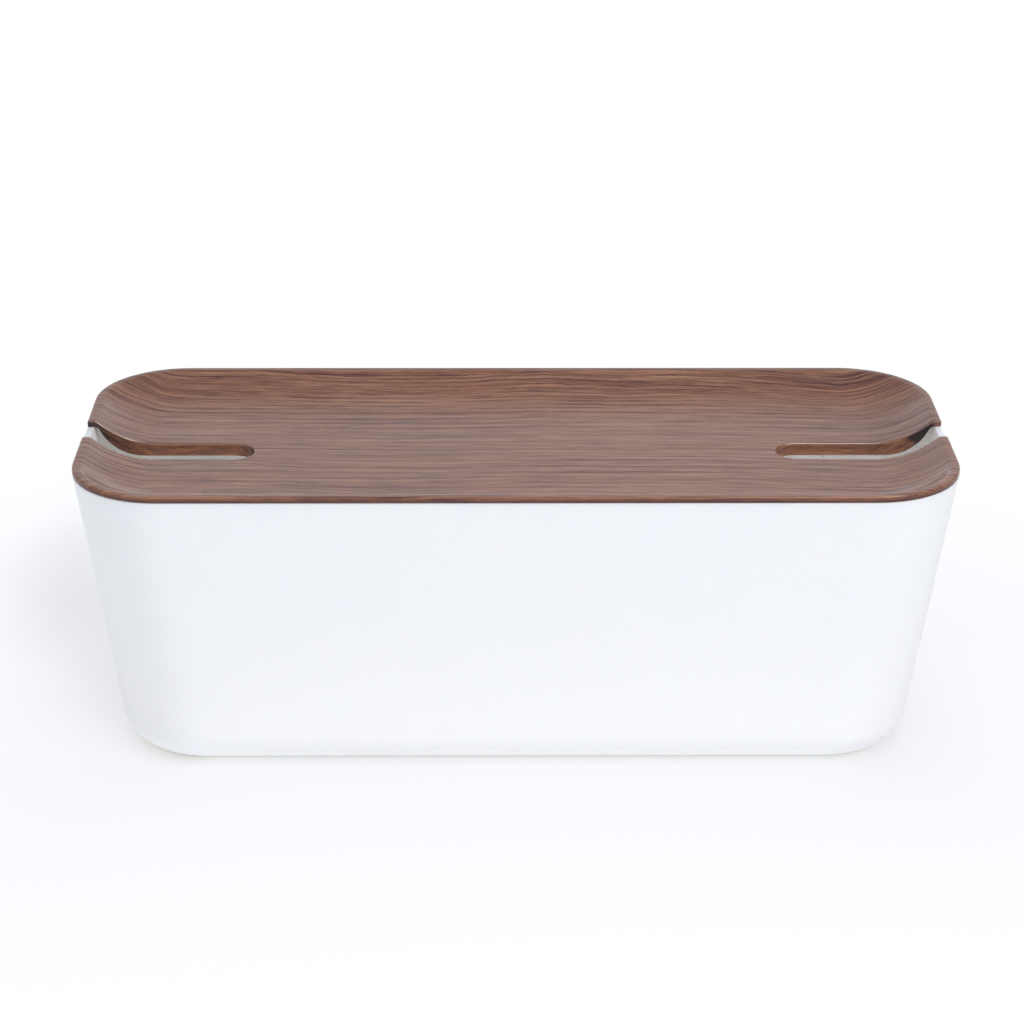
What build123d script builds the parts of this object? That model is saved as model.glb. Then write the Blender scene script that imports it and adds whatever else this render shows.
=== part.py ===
from build123d import *
import math
import os

# Cable management box: a drafted tub with a lift-off dished lid and four pressed-in feet.
# Millimetres, +Z up, X along the length. The origin is on the ground under the middle of the box.

# ------------------------------------------------------------------ driving dimensions
LENGTH = 401.4            # over the rim, X
WIDTH = 166.0             # over the rim, Y
HEIGHT = 142.0            # ground to the top of the lid's rim
RIM_RADIUS = 42.0         # plan radius of the corners at the rim
GROUND_GAP = 1.0          # how far the feet stand proud of the tub's underside
LID_EDGE = 3.0            # height of the lid's outer edge, flush with the tub

BASE_LENGTH = 366.8       # tub underside before its edge is rounded, X
BASE_WIDTH = 137.6        # the same, Y
BASE_RADIUS = 42.0        # plan radius of its corners
BASE_FILLET = 16.0        # rounding between the walls and the underside
WALL = 3.0                # wall thickness of the tub
FLOOR = 3.0               # floor thickness of the tub
RIM_ROUND = 0.5           # small radius on both edges of the tub's rim

TRAY_DEPTH = 11.3         # rim top to the flat floor of the lid's tray
SLOPE = 36.5              # degrees, slope of the tray's sides
SLOPE_D = 7.3             # a point on that slope: distance in from the outer edge
SLOPE_Z = 2.5             # and its depth below the rim's top
TRAY_ARC = 42.0           # concave radius between the slope and the tray floor
RIM_ARC = 3.0             # convex radius between the rim and the slope
EDGE_ARC = 1.2            # rounding of the lid's outer top edge
EDGE_BREAK = 0.35         # bevel on the lid's outer bottom edge
SHELL = 2.4               # thickness of the lid's shell

SLOT_HALF = 9.6           # half the width of a slot
SLOT_END = 122.2          # X of the inner end of a slot
SLOT_WALL = 2.0           # thickness of the wall round a slot
SLOT_WALL_DEPTH = 17.45   # rim top to the lowest edge of that wall
SLOT_WALL_START = (5.5, 4.2)   # where its lower edge leaves the rim (distance in, depth)
SLOT_WALL_FLAT = 26.0     # distance in from the outer edge where its lower edge is level
SLOT_EDGE = 1.15          # rounding of the slot's upper edge, and of its corners at the outer edge

RIB_CLEAR = 0.5           # locating rib to the tub's inner wall
RIB_THICK = 1.5
RIB_DEPTH = 3.5           # how far the rib reaches below the tub's rim
RIB_GAP = 26.0            # half the length at each end that has no rib, either side of a slot

FOOT_RADIUS = 7.0
FOOT_THICK = 2.5
FOOT_X = 145.0
FOOT_Y = 38.0
GATE_RADIUS = 6.0         # shallow dimple in the middle of the underside
GATE_DEPTH = 0.4

# ------------------------------------------------------------------ derived
RIM_Z = HEIGHT - LID_EDGE                    # the tub's rim, where the lid rests
TUB_HEIGHT = RIM_Z - GROUND_GAP
INNER_FLOOR = GROUND_GAP + FLOOR
draft_x = (LENGTH - BASE_LENGTH) / 2 / TUB_HEIGHT      # inset per mm of depth, end walls
draft_y = (WIDTH - BASE_WIDTH) / 2 / TUB_HEIGHT        # the same, long walls
wall_x = WALL * math.hypot(1, draft_x)       # wall thickness measured level
wall_y = WALL * math.hypot(1, draft_y)
t = math.tan(math.radians(SLOPE))
s, c = math.sin(math.radians(SLOPE)), math.cos(math.radians(SLOPE))

# tray section, as (distance in from the outer edge, depth below the rim's top)
FLOOR_D = SLOPE_D + (TRAY_DEPTH - TRAY_ARC * (1 - c) - SLOPE_Z) / t + TRAY_ARC * s
ARC_TOP = (FLOOR_D - TRAY_ARC * s, TRAY_DEPTH - TRAY_ARC * (1 - c))
ARC_MID = (FLOOR_D - TRAY_ARC * math.sin(math.radians(SLOPE / 2)),
           TRAY_DEPTH - TRAY_ARC * (1 - math.cos(math.radians(SLOPE / 2))))
LIP_D = SLOPE_D - SLOPE_Z / t                # where the slope would meet the rim's top
BACK = RIM_ARC * math.tan(math.radians(SLOPE / 2))
LIP_FLAT = (LIP_D - BACK, 0.0)
LIP_SLOPE = (LIP_D + BACK * c, BACK * s)
LIP_MID = (LIP_FLAT[0] + RIM_ARC * math.sin(math.radians(SLOPE / 2)),
           RIM_ARC * (1 - math.cos(math.radians(SLOPE / 2))))
# underside of the shell: parallel to the top, SHELL below it
def below_arc(gap):
    """Upper end and middle of the arc that runs parallel to the tray's concave arc, gap below it."""
    r, half = TRAY_ARC + gap, math.radians(SLOPE / 2)
    return ((ARC_TOP[0] - gap * s, ARC_TOP[1] + gap * c),
            (FLOOR_D - r * math.sin(half), TRAY_DEPTH + gap - r * (1 - math.cos(half))))


UNDER_TOP, UNDER_MID = below_arc(SHELL)
UNDER_RIM_D = UNDER_TOP[0] - (UNDER_TOP[1] - LID_EDGE) / t
CORE_TOP, CORE_MID = below_arc(SHELL / 2)    # halfway through the shell
CORE_RIM_D = CORE_TOP[0] - (CORE_TOP[1] - LID_EDGE) / t


def tray_depth(d):
    """Depth of the lid's top surface below the rim's top, d in from the outer edge."""
    if d <= EDGE_ARC:
        return EDGE_ARC - math.sqrt(max(0.0, EDGE_ARC ** 2 - (EDGE_ARC - d) ** 2))
    if d <= LIP_FLAT[0]:
        return 0.0
    if d <= LIP_SLOPE[0]:
        return RIM_ARC - math.sqrt(RIM_ARC ** 2 - (d - LIP_FLAT[0]) ** 2)
    if d <= ARC_TOP[0]:
        return SLOPE_Z + (d - SLOPE_D) * t
    if d <= FLOOR_D:
        return TRAY_DEPTH - TRAY_ARC + math.sqrt(TRAY_ARC ** 2 - (FLOOR_D - d) ** 2)
    return TRAY_DEPTH


def shell_section(place):
    """Closed outline of the lid's shell from its outer edge to the edge of the tray floor."""
    k = EDGE_ARC * (1 - math.sqrt(0.5))
    Line(place(0, LID_EDGE - EDGE_BREAK), place(0, EDGE_ARC))
    ThreePointArc(place(0, EDGE_ARC), place(k, k), place(EDGE_ARC, 0))
    Line(place(EDGE_ARC, 0), place(*LIP_FLAT))
    ThreePointArc(place(*LIP_FLAT), place(*LIP_MID), place(*LIP_SLOPE))
    Line(place(*LIP_SLOPE), place(*ARC_TOP))
    ThreePointArc(place(*ARC_TOP), place(*ARC_MID), place(FLOOR_D, TRAY_DEPTH))
    Line(place(FLOOR_D, TRAY_DEPTH), place(FLOOR_D, TRAY_DEPTH + SHELL))
    ThreePointArc(place(FLOOR_D, TRAY_DEPTH + SHELL), place(*UNDER_MID), place(*UNDER_TOP))
    Line(place(*UNDER_TOP), place(UNDER_RIM_D, LID_EDGE))
    Line(place(UNDER_RIM_D, LID_EDGE), place(EDGE_BREAK, LID_EDGE))
    Line(place(EDGE_BREAK, LID_EDGE), place(0, LID_EDGE - EDGE_BREAK))


def rib_section(place, draft):
    """Closed outline of the locating rib, parallel to the tub's inner wall."""
    top, low = LID_EDGE, LID_EDGE + RIB_DEPTH
    d0 = WALL + RIB_CLEAR
    d1 = d0 + RIB_DEPTH * draft
    Polyline(place(d0, top - 0.6), place(d0, top), place(d1, low),
             place(d1 + RIB_THICK, low), place(d0 + RIB_THICK + 0.3, top - 0.6), close=True)


def at_end(d, depth):        # on the end wall's section, in the XZ plane
    return (LENGTH / 2 - d, HEIGHT - depth)


def at_side(d, depth):       # on the long wall's section, in the YZ plane
    return (WIDTH / 2 - d, HEIGHT - depth)


CORNER_X = LENGTH / 2 - RIM_RADIUS
CORNER_Y = WIDTH / 2 - RIM_RADIUS
corner_axis = Axis((CORNER_X, CORNER_Y, 0), (0, 0, 1))

# ------------------------------------------------------------------ tub
with BuildPart() as tub:
    with BuildSketch(Plane.XY.offset(GROUND_GAP)):
        RectangleRounded(BASE_LENGTH, BASE_WIDTH, BASE_RADIUS)
    with BuildSketch(Plane.XY.offset(RIM_Z)):
        RectangleRounded(LENGTH, WIDTH, RIM_RADIUS)
    loft(ruled=True)
    fillet(tub.faces().sort_by(Axis.Z)[0].edges(), radius=BASE_FILLET)

# the space inside, wall and floor thickness in from the outside
inner_length = BASE_LENGTH + 2 * (FLOOR * draft_x - wall_x)
inner_width = BASE_WIDTH + 2 * (FLOOR * draft_y - wall_y)
with BuildPart() as hollow:
    with BuildSketch(Plane.XY.offset(INNER_FLOOR)):
        RectangleRounded(inner_length, inner_width, BASE_RADIUS - WALL)
    with BuildSketch(Plane.XY.offset(RIM_Z)):
        RectangleRounded(LENGTH - 2 * wall_x, WIDTH - 2 * wall_y, RIM_RADIUS - WALL)
    loft(ruled=True)
    fillet(hollow.faces().sort_by(Axis.Z)[0].edges(), radius=BASE_FILLET - WALL)

with tub:
    add(hollow.part, mode=Mode.SUBTRACT)
    fillet(tub.faces().sort_by(Axis.Z)[-1].edges(), radius=RIM_ROUND)
    # sockets for the feet, and the shallow dimple where the moulding was fed
    with BuildSketch(Plane.XY.offset(GROUND_GAP)):
        with Locations((FOOT_X, FOOT_Y), (FOOT_X, -FOOT_Y), (-FOOT_X, FOOT_Y), (-FOOT_X, -FOOT_Y)):
            Circle(FOOT_RADIUS)
    extrude(amount=FOOT_THICK - GROUND_GAP, mode=Mode.SUBTRACT)
    with BuildSketch(Plane.XY.offset(GROUND_GAP)):
        Circle(GATE_RADIUS)
    extrude(amount=GATE_DEPTH, mode=Mode.SUBTRACT)
tub.part.label = "tub"

# ------------------------------------------------------------------ lid
with BuildPart() as lid:
    # one quarter of the dished shell: half an end, a corner, half a long side
    with BuildSketch(Plane.XZ):
        with BuildLine():
            shell_section(at_end)
        make_face()
    extrude(amount=-CORNER_Y)
    with BuildSketch(Plane.XZ.offset(-CORNER_Y)):
        with BuildLine():
            shell_section(at_end)
        make_face()
    revolve(axis=corner_axis, revolution_arc=90)
    with BuildSketch(Plane.YZ):
        with BuildLine():
            shell_section(at_side)
        make_face()
    extrude(amount=CORNER_X)
    # the locating rib, from beside the slot round to the middle of the long side
    with BuildSketch(Plane.XZ.offset(-RIB_GAP)):
        with BuildLine():
            rib_section(at_end, draft_x)
        make_face()
    extrude(amount=-(CORNER_Y - RIB_GAP))
    with BuildSketch(Plane.XZ.offset(-CORNER_Y)):
        with BuildLine():
            rib_section(at_end, draft_x)
        make_face()
    revolve(axis=corner_axis, revolution_arc=90)
    with BuildSketch(Plane.YZ):
        with BuildLine():
            rib_section(at_side, draft_x)
        make_face()
    extrude(amount=CORNER_X)
    mirror(about=Plane.XZ)
    mirror(about=Plane.YZ)
    # the flat floor of the tray
    with BuildSketch(Plane.XY.offset(HEIGHT - TRAY_DEPTH - SHELL)):
        RectangleRounded(LENGTH - 2 * FLOOR_D, WIDTH - 2 * FLOOR_D, RIM_RADIUS - FLOOR_D)
    extrude(amount=SHELL)

# walls that line the two slots and hang below the shell: first a band across the end, whose lower
# edge curves down from the rim, then cut to the slot's outline
slot_centre = SLOT_END + SLOT_HALF
arc_dx = SLOT_WALL_FLAT - SLOT_WALL_START[0]
arc_dz = SLOT_WALL_DEPTH - SLOT_WALL_START[1]
arc_r = (arc_dx ** 2 + arc_dz ** 2) / (2 * arc_dz)
arc_half = math.asin(arc_dx / arc_r) / 2
arc_mid = (SLOT_WALL_FLAT - arc_r * math.sin(arc_half),
           SLOT_WALL_DEPTH - arc_r * (1 - math.cos(arc_half)))
with BuildPart() as slot_wall:
    with BuildSketch(Plane.XZ):
        with BuildLine():
            far, u = LENGTH / 2 - SLOT_END + SLOT_WALL, TRAY_DEPTH + SHELL / 2
            Polyline(at_end(*SLOT_WALL_START), at_end(UNDER_RIM_D, LID_EDGE),
                     at_end(CORE_RIM_D, LID_EDGE), at_end(*CORE_TOP))
            ThreePointArc(at_end(*CORE_TOP), at_end(*CORE_MID), at_end(FLOOR_D, u))
            Polyline(at_end(FLOOR_D, u), at_end(far, u), at_end(far, SLOT_WALL_DEPTH),
                     at_end(SLOT_WALL_FLAT, SLOT_WALL_DEPTH))
            ThreePointArc(at_end(SLOT_WALL_FLAT, SLOT_WALL_DEPTH), at_end(*arc_mid),
                          at_end(*SLOT_WALL_START))
        make_face()
    extrude(amount=SLOT_HALF + SLOT_WALL, both=True)
    with BuildSketch():
        with BuildLine():
            w = SLOT_HALF + SLOT_WALL
            Polyline((slot_centre, w), (LENGTH / 2, w), (LENGTH / 2, -w), (slot_centre, -w))
            ThreePointArc((slot_centre, -w), (slot_centre - w, 0), (slot_centre, w))
        make_face()
    extrude(amount=HEIGHT, mode=Mode.INTERSECT)
    mirror(about=Plane.YZ)



def slot_upper_edge(edge):
    """True for an edge of the slot's opening in the tray, its end arc and its corners at the rim."""
    p = edge @ 0.5
    x, y = abs(p.X), abs(p.Y)
    on_side = abs(y - SLOT_HALF) < 0.01 and x > slot_centre
    on_end = abs(math.hypot(x - slot_centre, y) - SLOT_HALF) < 0.01 and x <= slot_centre
    d = LENGTH / 2 - x
    return (on_side or on_end) and (abs(HEIGHT - p.Z - tray_depth(d)) < 0.3 or d < 0.01)


with lid:
    add(slot_wall.part)
    # the slots themselves, open at the outer edge
    with BuildSketch(Plane.XY.offset(HEIGHT - SLOT_WALL_DEPTH - 5)) as slots:
        with BuildLine():
            e, w = LENGTH / 2 + 5, SLOT_HALF
            Polyline((slot_centre, w), (e, w), (e, -w), (slot_centre, -w))
            ThreePointArc((slot_centre, -w), (slot_centre - w, 0), (slot_centre, w))
        make_face()
        mirror(about=Plane.YZ)
    extrude(amount=SLOT_WALL_DEPTH + 10, mode=Mode.SUBTRACT)
    fillet(lid.edges().filter_by(slot_upper_edge), radius=SLOT_EDGE)
lid.part.label = "lid"

# ------------------------------------------------------------------ feet
with BuildPart() as foot_front_left:
    with BuildSketch():
        with Locations((-FOOT_X, -FOOT_Y)):
            Circle(FOOT_RADIUS)
    extrude(amount=FOOT_THICK)
    chamfer(foot_front_left.faces().sort_by(Axis.Z)[0].edges(), length=0.4)
foot_front_left.part.label = "foot_front_left"

with BuildPart() as foot_front_right:
    with BuildSketch():
        with Locations((FOOT_X, -FOOT_Y)):
            Circle(FOOT_RADIUS)
    extrude(amount=FOOT_THICK)
    chamfer(foot_front_right.faces().sort_by(Axis.Z)[0].edges(), length=0.4)
foot_front_right.part.label = "foot_front_right"

with BuildPart() as foot_rear_left:
    with BuildSketch():
        with Locations((-FOOT_X, FOOT_Y)):
            Circle(FOOT_RADIUS)
    extrude(amount=FOOT_THICK)
    chamfer(foot_rear_left.faces().sort_by(Axis.Z)[0].edges(), length=0.4)
foot_rear_left.part.label = "foot_rear_left"

with BuildPart() as foot_rear_right:
    with BuildSketch():
        with Locations((FOOT_X, FOOT_Y)):
            Circle(FOOT_RADIUS)
    extrude(amount=FOOT_THICK)
    chamfer(foot_rear_right.faces().sort_by(Axis.Z)[0].edges(), length=0.4)
foot_rear_right.part.label = "foot_rear_right"

# ------------------------------------------------------------------ files
os.makedirs("parts", exist_ok=True)
export_step(tub.part, "parts/tub.step")
export_step(lid.part, "parts/lid.step")
export_step(foot_front_left.part, "parts/foot_front_left.step")
export_step(foot_front_right.part, "parts/foot_front_right.step")
export_step(foot_rear_left.part, "parts/foot_rear_left.step")
export_step(foot_rear_right.part, "parts/foot_rear_right.step")

for piece in (tub, lid, foot_front_left, foot_front_right, foot_rear_left, foot_rear_right):
    box = piece.part.bounding_box()
    print(piece.part.label, "solids", len(piece.part.solids()), "valid", piece.part.is_valid,
          "volume", round(piece.part.volume / 1000, 2), "cm3",
          [round(v, 2) for v in (*box.min, *box.max)])
print("tray floor starts", round(FLOOR_D, 2), "under rim", round(UNDER_RIM_D, 2))
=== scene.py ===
import math

import bmesh
import bpy
from mathutils import Matrix, Vector

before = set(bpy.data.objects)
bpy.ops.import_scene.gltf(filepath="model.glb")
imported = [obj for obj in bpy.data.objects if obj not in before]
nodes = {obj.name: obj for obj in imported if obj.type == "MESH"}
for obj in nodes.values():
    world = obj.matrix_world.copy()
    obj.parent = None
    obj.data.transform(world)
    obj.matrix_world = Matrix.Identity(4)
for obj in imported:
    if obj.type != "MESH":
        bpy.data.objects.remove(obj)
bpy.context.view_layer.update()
scene = bpy.context.scene
scene.view_settings.view_transform = "Standard"


# ------------------------------------------------------------------ camera, at the photograph's angle
def make_camera():
    focal, reach = 2760.0, 1.30378
    tilt, yaw, roll = math.radians(23.0656), math.radians(-0.7044), math.radians(0.2216)
    target = Vector((-0.00144, 0, 0.09958))
    back = Vector((math.sin(yaw) * math.cos(tilt), -math.cos(yaw) * math.cos(tilt), math.sin(tilt)))
    ahead = -back
    right = ahead.cross(Vector((0, 0, 1))).normalized()
    up = right.cross(ahead)
    c, s = math.cos(roll), math.sin(roll)
    turned = Matrix((right * c + up * s, -right * s + up * c, -ahead)).transposed().to_4x4()
    turned.translation = target + back * reach
    data = bpy.data.cameras.new("camera")
    data.sensor_width = 36.0
    data.lens = focal / 1024 * 36.0
    camera = bpy.data.objects.new("camera", data)
    scene.collection.objects.link(camera)
    camera.matrix_world = turned
    scene.camera = camera


make_camera()


# ------------------------------------------------------------------ small helpers for node trees
class Tree:
    def __init__(self, owner):
        owner.use_nodes = True
        self.tree = owner.node_tree
        self.tree.nodes.clear()

    def node(self, kind, **settings):
        n = self.tree.nodes.new(kind)
        for key, value in settings.items():
            setattr(n, key, value)
        return n

    def put(self, socket, value):
        if isinstance(value, bpy.types.NodeSocket):
            self.tree.links.new(value, socket)
        elif value is not None:
            socket.default_value = value

    def math(self, op, a, b=None, c=None, clamp=False):
        n = self.node("ShaderNodeMath", operation=op, use_clamp=clamp)
        for socket, value in zip(n.inputs, (a, b, c)):
            self.put(socket, value)
        return n.outputs[0]

    def add(self, a, b):
        return self.math("ADD", a, b)

    def sub(self, a, b):
        return self.math("SUBTRACT", a, b)

    def mul(self, a, b):
        return self.math("MULTIPLY", a, b)

    def span(self, value, low, high, to_low=0.0, to_high=1.0, smooth=True):
        """value carried from low..high to to_low..to_high, held at both ends."""
        n = self.node("ShaderNodeMapRange", clamp=True,
                      interpolation_type="SMOOTHSTEP" if smooth else "LINEAR")
        for socket, v in zip(n.inputs[:5], (value, low, high, to_low, to_high)):
            self.put(socket, v)
        return n.outputs[0]

    def vector(self, x, y, z):
        n = self.node("ShaderNodeCombineXYZ")
        for socket, value in zip(n.inputs, (x, y, z)):
            self.put(socket, value)
        return n.outputs[0]

    def split(self, vector):
        n = self.node("ShaderNodeSeparateXYZ")
        self.put(n.inputs[0], vector)
        return n.outputs

    def noise(self, vector, detail=2.0, rough=0.5, scale=1.0, lacunarity=2.0, distortion=0.0):
        n = self.node("ShaderNodeTexNoise")
        self.put(n.inputs["Vector"], vector)
        n.inputs["Scale"].default_value = scale
        n.inputs["Detail"].default_value = detail
        n.inputs["Roughness"].default_value = rough
        n.inputs["Lacunarity"].default_value = lacunarity
        n.inputs["Distortion"].default_value = distortion
        return n.outputs["Fac"]

    def curve(self, value, points, handles="AUTO"):
        """A drawn curve through points, both axes 0 to 1."""
        n = self.node("ShaderNodeFloatCurve")
        self.put(n.inputs["Value"], value)
        line = n.mapping.curves[0]
        n.mapping.use_clip = True
        line.points[0].location = points[0]
        line.points[1].location = points[-1]
        for p in points[1:-1]:
            line.points.new(*p)
        for p in line.points:
            p.handle_type = handles
        n.mapping.update()
        return n.outputs[0]

    def ramp(self, value, stops, kind="LINEAR"):
        n = self.node("ShaderNodeValToRGB")
        self.put(n.inputs[0], value)
        r = n.color_ramp
        r.interpolation = kind
        while len(r.elements) < len(stops):
            r.elements.new(0.5)
        for element, (place, colour) in zip(r.elements, stops):
            element.position = place
            element.color = (*colour, 1.0)
        return n.outputs[0]

    def mix(self, share, a, b, kind="MIX"):
        n = self.node("ShaderNodeMix", data_type="RGBA", blend_type=kind)
        self.put(n.inputs["Factor"], share)
        self.put(n.inputs[6], a)
        self.put(n.inputs[7], b)
        return n.outputs[2]

    def bump(self, height, depth, strength=1.0):
        n = self.node("ShaderNodeBump")
        n.inputs["Strength"].default_value = strength
        n.inputs["Distance"].default_value = depth
        self.put(n.inputs["Height"], height)
        return n.outputs[0]

    def principled(self, **sockets):
        n = self.node("ShaderNodeBsdfPrincipled")
        for key, value in sockets.items():
            self.put(n.inputs[key.replace("_", " ")], value)
        out = self.node("ShaderNodeOutputMaterial")
        self.tree.links.new(n.outputs[0], out.inputs[0])
        return n


def colour(r, g, b):
    return (r, g, b, 1.0)


# ------------------------------------------------------------------ walnut-effect lid
# Growth lines of the print: place across the lid in mm where they cross its middle, and faint,
# medium or strong.
# They run along the lid and wander together.
GROWTH = [
    (-86.0, 1.0), (-84.5, 0.6), (-80.5, 0.6), (-76.0, 0.6), (-71.0, 0.6), (-66.5, 1.0),
    (-61.0, 0.6), (-56.0, 0.6), (-50.5, 0.6), (-43.0, 0.6), (-38.5, 1.0), (-32.5, 0.6),
    (-25.5, 1.0), (-19.0, 1.0), (-11.0, 0.6), (-7.0, 0.3), (-3.0, 0.3), (3.0, 1.0), (8.0, 0.3),
    (12.0, 0.3), (21.0, 0.6), (31.0, 0.6), (37.3, 0.6), (44.0, 0.6), (50.4, 1.0), (55.0, 0.3),
    (58.5, 0.8), (61.8, 0.6), (64.7, 0.8), (67.6, 0.3), (69.8, 0.8), (72.0, 0.3), (74.2, 0.8),
    (77.6, 0.8), (80.5, 0.6),
]
# how far, in mm, the lines have wandered sideways along the lid: all together, and front against rear
WANDER = [(-200, 1.0), (-190, 1.8), (-181, 2.6), (-170, 1.3), (-150, 0.9), (-125, 0.4), (-100, -0.5),
          (-75, -1.3), (-52, -1.6), (-25, -0.9), (0, 0.0), (18, 0.4), (38, 0.0), (52, -0.35),
          (80, -0.2), (100, -0.7), (125, -2.0), (150, -3.8), (165, -4.5), (180, -3.9), (190, -5.2),
          (200, -7.0)]
LEAN = [(-200, 1.5), (-180, 1.2), (-120, 1.2), (-80, 0.8), (-40, 0.25), (0, 0.0), (40, -0.2),
        (80, -0.3), (120, -1.05), (160, -1.66), (200, -1.5)]


def walnut():
    material = bpy.data.materials.new("lid_walnut_effect")
    g = Tree(material)
    place = g.node("ShaderNodeTexCoord").outputs["Object"]
    metres = g.split(place)
    x, y, z = (g.mul(v, 1000.0) for v in metres)
    normal = g.node("ShaderNodeNewGeometry").outputs["Normal"]
    nx, ny, nz = g.split(normal)

    # the wandering of the lines
    along = g.math("MULTIPLY_ADD", x, 1 / 400, 0.5, clamp=True)
    together = g.math("MULTIPLY_ADD",
                      g.curve(along, [(p / 400 + 0.5, w / 20 + 0.5) for p, w in WANDER]), 20.0, -10.0)
    lean = g.math("MULTIPLY_ADD",
                  g.curve(along, [(p / 400 + 0.5, w / 20 + 0.5) for p, w in LEAN]), 20.0, -10.0)
    swing = g.math("SINE", g.mul(y, -0.049))
    slow = g.noise(g.vector(g.mul(x, 0.022), g.mul(y, 0.035), 3.1), detail=1.0)
    quick = g.noise(g.vector(g.mul(x, 0.10), g.mul(y, 0.22), 7.7), detail=2.0, rough=0.55)
    v = g.sub(y, g.add(together, g.mul(lean, swing)))
    v = g.add(v, g.mul(g.sub(slow, 0.5), 1.6))
    v = g.add(v, g.mul(g.sub(quick, 0.5), 1.0))
    ripple = g.noise(g.vector(g.mul(x, 0.36), g.mul(y, 0.6), 17.0), detail=1.0)
    v = g.add(v, g.mul(g.sub(ripple, 0.5), 0.55))
    # over the outer edge and down the slots' walls the print carries on, drawn out
    steep = g.span(g.math("ABSOLUTE", nz), 0.30, 0.75, 1.0, 0.0)
    drop = g.math("MULTIPLY_ADD", z, -0.8, 0.8 * 142.0)
    v = g.math("MULTIPLY_ADD", g.mul(ny, steep), drop, v)

    # growth lines: one ring between each pair, counted by a drawn curve
    count = len(GROWTH) + 1
    across = g.math("MULTIPLY_ADD", v, 1 / 184, 0.5, clamp=True)
    steps = [(0.0, 0.0)] + [(p / 184 + 0.5, (i + 1) / count) for i, (p, w) in enumerate(GROWTH)]
    steps += [(1.0, 1.0)]
    ring = g.mul(g.curve(across, steps, "VECTOR"), float(count))
    turn = g.math("FRACT", ring)
    weights = [(0.0, 0.2)] + [(p / 184 + 0.5, w / 2) for p, w in GROWTH] + [(1.0, 0.2)]
    strength = g.mul(g.curve(across, weights, "VECTOR"), 2.0)
    fade = g.noise(g.vector(g.mul(x, 0.018), g.mul(v, 0.12), 1.3), detail=2.0)
    strength = g.mul(strength, g.span(fade, 0.3, 0.7, 0.62, 1.2))
    near = g.math("MINIMUM", turn, g.mul(g.sub(1.0, turn), 0.6))
    line = g.span(near, 0.0, 0.15, 1.0, 0.0)
    late = g.math("POWER", turn, 2.5)

    # fibres and pores, finer on the long slopes
    past = g.math("MAXIMUM", g.sub(g.math("ABSOLUTE", v), 58.0), 0.0)
    vf = g.math("MULTIPLY_ADD", g.math("SIGN", v), past, v)
    fibre = g.noise(g.vector(g.mul(x, 0.009), g.mul(vf, 0.46), 0.0), detail=3.0, rough=0.62)
    fine = g.noise(g.vector(g.mul(x, 0.045), g.mul(vf, 1.10), 5.0), detail=3.0, rough=0.6)
    broad = g.noise(g.vector(g.mul(x, 0.005), g.mul(v, 0.06), 9.0), detail=2.0)
    tick = g.noise(g.vector(g.mul(x, 0.12), g.mul(vf, 1.9), 2.0), detail=2.0, rough=0.5)
    pore = g.span(tick, 0.60, 0.72)
    glint = g.span(g.noise(g.vector(g.mul(x, 0.09), g.mul(vf, 1.5), 12.0), detail=2.0), 0.60, 0.75)

    force = g.span(g.math("ABSOLUTE", v), 54.0, 66.0, 1.0, 1.15)
    weave = g.math("MULTIPLY_ADD", g.sub(fibre, 0.5), 1.42, g.mul(g.sub(fine, 0.5), 1.50))
    # painted shade: the base tone falls off towards the right end of the lid
    tone = g.math("MULTIPLY_ADD", weave, force, g.span(x, 40.0, 190.0, 0.700, 0.624))
    tone = g.math("MULTIPLY_ADD", g.sub(broad, 0.5), 0.16, tone)
    # painted shade: the rear inner slope is darker, more so towards the right
    tone = g.math("MULTIPLY_ADD", g.span(y, 60.0, 72.0), g.span(x, 0.0, 150.0, -0.090, -0.108), tone)
    # painted shade: the end slopes of the rear half are a touch darker
    tone = g.math("MULTIPLY_ADD", g.span(y, -15.0, 5.0), g.span(g.math("ABSOLUTE", x), 165.0, 182.0, 0.0, -0.035),
                  tone)
    tone = g.math("MULTIPLY_ADD", late, g.mul(strength, -0.09), tone)
    tone = g.math("MULTIPLY_ADD", line, g.mul(strength, -0.30), tone)
    tone = g.math("MULTIPLY_ADD", pore, -0.22, tone)
    tone = g.math("MULTIPLY_ADD", glint, 0.10, tone)
    printed = g.ramp(tone, [
        (0.00, (0.066, 0.026, 0.029)),
        (0.25, (0.138, 0.059, 0.049)),
        (0.50, (0.241, 0.118, 0.080)),
        (0.72, (0.326, 0.166, 0.112)),
        (1.00, (0.436, 0.237, 0.159)),
    ])
    # ruddier and greyer patches
    patch = g.noise(g.vector(g.mul(x, 0.016), g.mul(v, 0.22), 20.0), detail=2.0)
    printed = g.mix(g.span(patch, 0.35, 0.7, 0.0, 0.35), printed, colour(1.0, 0.86, 0.80), "MULTIPLY")

    # on the upright faces the print is drawn out: richer, and mottled with longer streaks
    along_x = g.math("ABSOLUTE", x)
    level = g.math("MULTIPLY_ADD", g.math("MAXIMUM", g.sub(along_x, 170.0), 0.0), -0.62, z)
    mottle = g.noise(g.vector(g.mul(x, 0.045), g.mul(y, 0.10), g.mul(level, 0.30)), detail=4.0, rough=0.65)
    streak = g.noise(g.vector(g.mul(x, 0.05), g.mul(y, 0.3), g.mul(level, 0.75)), detail=3.0, rough=0.6)
    nick = g.noise(g.vector(g.mul(x, 0.16), g.mul(y, 0.5), g.mul(level, 1.1)), detail=2.0, rough=0.6)
    grainy = g.math("MULTIPLY_ADD", g.sub(nick, 0.5), 0.45, g.add(g.mul(mottle, 0.5), g.mul(streak, 0.5)))
    upright = g.ramp(grainy, [
        (0.34, (0.082, 0.026, 0.019)),
        (0.45, (0.185, 0.068, 0.037)),
        (0.56, (0.320, 0.130, 0.064)),
        (0.70, (0.440, 0.208, 0.104)),
    ])
    surface = g.mix(g.mul(steep, 0.65), printed, upright)
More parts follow.
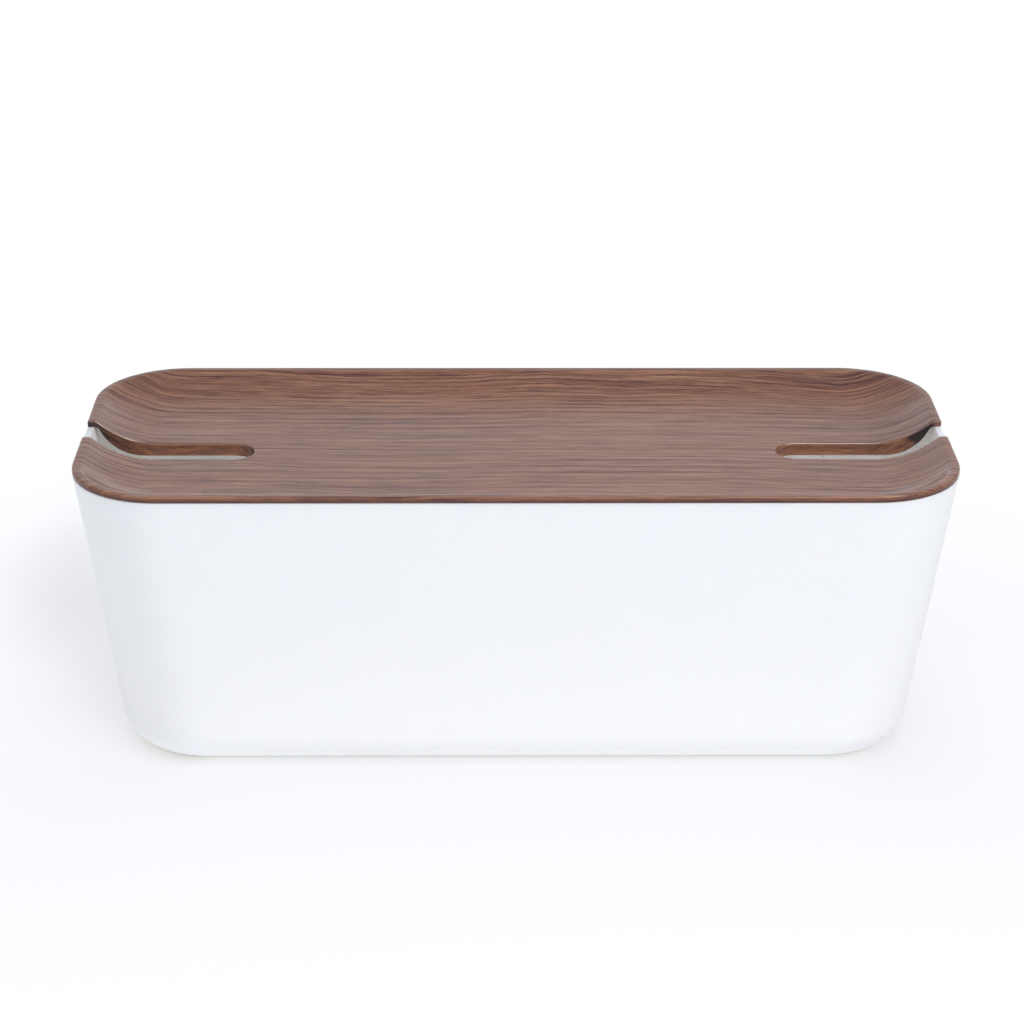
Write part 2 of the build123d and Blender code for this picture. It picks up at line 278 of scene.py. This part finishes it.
    # the outer edge is darker towards its lower rim
    facing = g.add(g.mul(g.mul(x, nx), 1 / 200), g.mul(g.mul(y, ny), 1 / 83))
    outside = g.mul(g.span(facing, 0.05, 0.25), g.span(z, 137.5, 138.7))
    darker_low_rim = g.mul(g.mul(steep, outside), g.span(z, 139.9, 141.4, 0.72, 0.22))
    surface = g.mix(darker_low_rim, surface, colour(0.058, 0.024, 0.031))
    # towards the mouths the slots' walls get painted shade: streaked at the left one, and at the
    # right one a near-black painted shadow below a slanting edge
    away = g.math("ABSOLUTE", y)
    wall = g.mul(steep, g.span(away, 11.5, 10.5))
    dusk = g.mul(g.span(x, -172.0, -192.0), g.span(streak, 0.62, 0.42, 0.45, 0.85))
    surface = g.mix(g.mul(wall, dusk), surface, colour(0.022, 0.009, 0.006))
    # the left slot's round end gets painted shade too
    surface = g.mix(g.mul(wall, g.mul(g.span(x, -127.0, -121.5, 0.0, 0.40), g.math("LESS_THAN", x, 0.0))), surface,
                    colour(0.022, 0.009, 0.006))
    # painted shade on the walls' tips at the mouths
    tip = g.add(g.span(x, -191.5, -196.5, 0.0, 0.54), g.span(x, 191.0, 196.0, 0.0, 0.30))
    surface = g.mix(g.mul(wall, tip), surface, colour(0.030, 0.012, 0.013))
    # painted shadow, near black: at the right mouth below a slanting edge, and at the left slot's far tip
    slant = g.math("MULTIPLY_ADD", z, 1.63, x)
    top = g.math("MULTIPLY_ADD", x, -0.475, z)
    low = g.mul(g.span(slant, 396.0, 405.0), g.span(top, 46.6, 48.2, 1.0, 0.0))
    ends = g.math("MAXIMUM", g.mul(g.span(x, 176.0, 178.0), g.mul(low, g.span(x, 196.2, 197.6, 1.0, 0.0))),
                  g.span(x, -197.5, -199.5, 0.0, 0.75))
    surface = g.mix(g.mul(wall, g.mul(ends, 0.93)), surface, colour(0.012, 0.009, 0.015))
    # the underside isn't printed: plain brown plastic
    plain_noise = g.noise(g.vector(g.mul(x, 0.06), g.mul(y, 0.06), g.mul(z, 0.06)), detail=3.0)
    plain = g.ramp(plain_noise, [(0.3, (0.118, 0.062, 0.043)), (0.7, (0.138, 0.074, 0.052))])
    below = g.span(nz, -0.25, -0.05, 1.0, 0.0)
    surface = g.mix(below, surface, plain)

    # gloss: the print is satin, a touch duller along its dark lines
    grain_gloss = g.noise(g.vector(g.mul(x, 0.3), g.mul(y, 0.3), g.mul(z, 0.3)), detail=3.0)
    rough = g.math("MULTIPLY_ADD", grain_gloss, 0.06, 0.19)
    rough = g.math("MULTIPLY_ADD", line, 0.05, rough)
    rough = g.math("MULTIPLY_ADD", below, 0.22, rough)
    # and duller again where it thins out on the outer edge
    bare = g.mul(outside, g.span(nz, 0.90, 0.97, 1.0, 0.0))
    rough = g.math("MULTIPLY_ADD", bare, 0.08, rough)
    # the rolled lips of the slots are polished
    lip = g.mul(g.mul(g.span(away, 12.6, 12.0), g.span(g.math("ABSOLUTE", x), 119.5, 120.5)),
                g.mul(g.span(nz, 0.25, 0.35), g.span(nz, 0.985, 0.96)))
    rough = g.math("MULTIPLY_ADD", lip, g.span(x, -110.0, 110.0, -0.08, 0.03), rough)
    relief = g.add(g.mul(g.noise(g.mul_vector(place, 2600.0), detail=2.0), 0.6), g.mul(fine, 0.4))
    n = g.principled(Base_Color=surface, Roughness=rough, IOR=1.5, Normal=g.bump(relief, 0.000006))
    g.put(n.inputs["Specular IOR Level"],
          g.math("MULTIPLY_ADD", lip, 0.5, g.math("MULTIPLY_ADD", bare, -0.22, 0.5)))
    return material


def _mul_vector(self, vector, k):
    n = self.node("ShaderNodeVectorMath", operation="SCALE")
    self.put(n.inputs[0], vector)
    n.inputs["Scale"].default_value = k
    return n.outputs[0]


Tree.mul_vector = _mul_vector


# ------------------------------------------------------------------ satin white tub
def satin_white():
    material = bpy.data.materials.new("tub_satin_white")
    g = Tree(material)
    place = g.node("ShaderNodeTexCoord").outputs["Object"]
    cloud = g.noise(g.mul_vector(place, 14.0), detail=3.0)
    base = g.ramp(cloud, [(0.3, (0.906, 0.930, 0.974)), (0.7, (0.920, 0.943, 0.982))])
    # painted light: the lower band of the tub is lighter and bluer, as if lit up from the floor
    low = g.span(g.split(place)[2], 0.085, 0.015)
    base = g.mix(low, base, colour(0.945, 0.962, 0.992))
    pebble = g.noise(g.mul_vector(place, 1500.0), detail=2.0, rough=0.6)
    swell = g.noise(g.mul_vector(place, 9.0), detail=1.0)
    gloss = g.noise(g.mul_vector(place, 60.0), detail=3.0)
    rough = g.math("MULTIPLY_ADD", gloss, 0.08, 0.33)
    relief = g.bump(pebble, 0.000012)
    n = g.principled(Base_Color=base, Roughness=rough, IOR=1.49, Normal=relief)
    n.inputs["Subsurface Weight"].default_value = 0.5
    n.inputs["Subsurface Radius"].default_value = (1.0, 0.96, 0.80)
    n.inputs["Subsurface Scale"].default_value = 0.004
    return material


# ------------------------------------------------------------------ rubber of the feet
def rubber():
    material = bpy.data.materials.new("foot_grey_rubber")
    g = Tree(material)
    place = g.node("ShaderNodeTexCoord").outputs["Object"]
    speck = g.noise(g.mul_vector(place, 900.0), detail=3.0, rough=0.7)
    base = g.ramp(speck, [(0.3, (0.50, 0.50, 0.49)), (0.7, (0.60, 0.60, 0.59))])
    rough = g.math("MULTIPLY_ADD", speck, 0.15, 0.62)
    g.principled(Base_Color=base, Roughness=rough, IOR=1.5, Normal=g.bump(speck, 0.00004))
    return material


def dress(node, material):
    for slot in nodes[node].material_slots:
        slot.material = material


dress("lid", walnut())
dress("tub", satin_white())
foot_material = rubber()
for name in ("foot_front_left", "foot_front_right", "foot_rear_left", "foot_rear_right"):
    dress(name, foot_material)


# ------------------------------------------------------------------ floor, light
def make_floor():
    half = 12.0
    mesh = bpy.data.meshes.new("studio_floor")
    mesh.from_pydata([(-half, -half, 0), (half, -half, 0), (half, half, 0), (-half, half, 0)],
                     [], [(0, 1, 2, 3)])
    floor = bpy.data.objects.new("studio_floor", mesh)
    scene.collection.objects.link(floor)
    material = bpy.data.materials.new("studio_floor")
    g = Tree(material)
    place = g.node("ShaderNodeTexCoord").outputs["Object"]
    cloud = g.noise(g.mul_vector(place, 1.5), detail=2.0)
    base = g.ramp(cloud, [(0.3, (0.055, 0.057, 0.060)), (0.7, (0.065, 0.067, 0.070))])
    n = g.principled(Base_Color=base, Roughness=0.9, IOR=1.3)
    # a sheet lit from below, so its shadows stay light
    fx, fy, fz = g.split(place)
    ax, ay = g.math("ABSOLUTE", fx), g.math("ABSOLUTE", fy)
    off_x, off_y = g.math("MAXIMUM", g.sub(ax, 0.18), 0.0), g.math("MAXIMUM", g.sub(ay, 0.065), 0.0)
    off = g.math("SQRT", g.add(g.mul(off_x, off_x), g.mul(off_y, off_y)))
    def grey(v):
        return (v, v, v)
    # painted shade: the sheet's glow is dimmer close to the tub and rises to full away from it
    far = g.ramp(g.mul(off, 2.0), [(p, grey(v)) for p, v in (
        (0.0, 0.890), (0.04, 0.895), (0.10, 0.908), (0.18, 0.925), (0.31, 0.945), (0.50, 0.970),
        (0.80, 1.0))])
    # the shade that gathers where the tub stands, a little deeper beside its ends
    shade = g.node("ShaderNodeAmbientOcclusion", samples=16)
    shade.inputs["Distance"].default_value = 0.05
    contact = g.ramp(shade.outputs["AO"], [(p, grey(v)) for p, v in (
        (0.0, 0.70), (0.0625, 0.90), (0.125, 0.955), (0.19, 0.965), (0.25, 0.972), (0.32, 0.978),
        (0.40, 0.986), (0.47, 0.992), (0.55, 0.997), (0.65, 1.0))])
    # with a crisp line of painted shade right at its foot, stronger round the left corner
    foot_x, foot_y = g.math("MAXIMUM", g.sub(ax, 0.143), 0.0), g.math("MAXIMUM", g.sub(ay, 0.0265), 0.0)
    foot = g.sub(g.math("SQRT", g.add(g.mul(foot_x, foot_x), g.mul(foot_y, foot_y))), 0.0302)
    more = g.add(g.span(fx, -0.135, -0.160), g.span(fx, 0.135, 0.160, 0.0, 0.3))
    foot = g.math("DIVIDE", foot, g.math("MULTIPLY_ADD", more, 1.0, 1.0))
    line = g.ramp(g.math("MULTIPLY_ADD", foot, 50.0, 0.5, clamp=True), [(p, grey(v)) for p, v in (
        (0.0, 0.30), (0.30, 0.52), (0.42, 0.72), (0.465, 0.77), (0.525, 0.81), (0.585, 0.90),
        (0.645, 0.945), (0.705, 0.975), (0.80, 0.990), (0.95, 1.0))])
    line = g.math("POWER", line, g.math("MULTIPLY_ADD", more, 0.9, 1.0))
    g.put(n.inputs["Emission Color"], g.ramp(line, [(0.84, (0.972, 0.992, 0.935)), (0.94, (0.972, 0.980, 1.0))]))
    contact = g.mul(contact, line)
    beside = g.ramp(shade.outputs["AO"], [(p, grey(v)) for p, v in (
        (0.0, 0.0), (0.12, 0.05), (0.30, 0.11), (0.42, 0.115), (0.52, 0.075), (0.66, 0.04),
        (0.85, 0.012), (1.0, 0.0))])
    flank = g.add(g.mul(g.span(fx, -0.14, -0.18), g.span(fy, -0.01, 0.05, 0.45, 1.0)),
                  g.span(fx, 0.14, 0.18, 0.0, 0.8))
    # and a soft shadow to the left and rear
    reach = [(-60, 165), (-40, 178), (-20, 196), (1, 211), (23, 220), (45, 232), (68, 243), (92, 250),
             (117, 257), (142, 261), (168, 262), (195, 259), (223, 250), (260, 240)]
    edge = g.mul(g.curve(g.math("MULTIPLY_ADD", fy, 1 / 0.32, 0.06 / 0.32, clamp=True),
                         [((p + 60) / 320, w / 300) for p, w in reach]), 0.3)
    inward = g.span(g.add(fx, edge), -0.030, 0.030)
    depth = g.mul(g.span(fy, 0.03, 0.12, 0.10, 0.14), g.span(fy, 0.17, 0.30, 1.0, 0.0))
    shadow = g.mul(g.mul(inward, g.span(fx, -0.13, -0.18)), g.mul(depth, g.span(fy, -0.065, -0.020)))
    drop = g.add(g.mul(beside, flank), shadow)
    g.put(n.inputs["Emission Strength"], g.mul(far, g.sub(contact, drop)))
    mesh.materials.append(material)


make_floor()


def make_world():
    world = bpy.data.worlds.new("studio")
    scene.world = world
    g = Tree(world)
    way = g.node("ShaderNodeTexCoord").outputs["Generated"]
    wx, wy, wz = g.split(way)
    rear = g.ramp(wz, [(0.0, (1.02, 1.02, 1.04)), (0.02, (0.98, 1.00, 1.03)), (0.20, (0.84, 0.89, 0.96)),
                       (0.40, (0.53, 0.58, 0.64)), (0.60, (0.56, 0.60, 0.65)), (0.80, (0.52, 0.55, 0.59)),
                       (0.92, (0.40, 0.42, 0.44)), (1.0, (0.30, 0.31, 0.32))])
    front = g.ramp(wz, [(0.0, (1.02, 1.02, 1.04)), (0.02, (1.03, 1.03, 1.05)), (0.35, (0.84, 0.86, 0.89)),
                        (0.60, (0.60, 0.61, 0.63)), (0.80, (0.43, 0.43, 0.44)), (1.0, (0.30, 0.31, 0.32))])
    share = g.span(wy, -0.25, 0.35)
    shade = g.mix(share, front, rear)
    sides = g.mul(g.span(wx, -1.0, -0.3, 0.42, 1.0), g.span(wx, 0.3, 1.0, 1.0, 0.0))
    shade = g.mix(1.0, shade, g.vector(sides, sides, sides), "MULTIPLY")
    background = g.node("ShaderNodeBackground")
    g.put(background.inputs["Color"], shade)
    background.inputs["Strength"].default_value = 1.0
    out = g.node("ShaderNodeOutputWorld")
    g.tree.links.new(background.outputs[0], out.inputs[0])


make_world()


def softbox(name, place, turn, width, depth, power, tint=(1.0, 1.0, 1.0)):
    data = bpy.data.lights.new(name, "AREA")
    data.shape = "RECTANGLE"
    data.size, data.size_y = width, depth
    data.energy = power
    data.color = tint
    light = bpy.data.objects.new(name, data)
    scene.collection.objects.link(light)
    light.location = place
    light.rotation_euler = (0, 0, math.radians(turn))
    light.visible_camera = False


softbox("key", (0.35, -0.66, 1.64), 0.0, 0.22, 0.40, 6.4)
softbox("key_strip", (0.95, -0.78, 1.64), -18.0, 0.75, 0.22, 10.0)
softbox("key_side", (1.24, -0.82, 1.64), 0.0, 0.22, 0.75, 6.8)


def bounce(name, place, turn, width, depth, power):
    """A low strip that throws light up at the foot of the tub."""
    softbox(name, place, turn, width, depth, power, (0.97, 0.98, 1.0))
    strip = bpy.data.objects[name]
    strip.rotation_euler = (math.pi, 0, math.radians(turn))
    strip.visible_glossy = False


bounce("bounce_front", (0.0, -0.098, 0.0006), 0.0, 0.36, 0.04, 0.0075)

# light that comes through the tub's walls into the closed box
glow = bpy.data.lights.new("inside", "AREA")
glow.shape, glow.size, glow.size_y, glow.energy = "RECTANGLE", 0.30, 0.11, 0.155
glow.color = (1.0, 0.975, 0.90)
inside = bpy.data.objects.new("inside", glow)
scene.collection.objects.link(inside)
inside.location = (0.015, 0, 0.010)
inside.rotation_euler = (math.pi, 0, 0)
inside.visible_camera = False
inside.visible_glossy = False
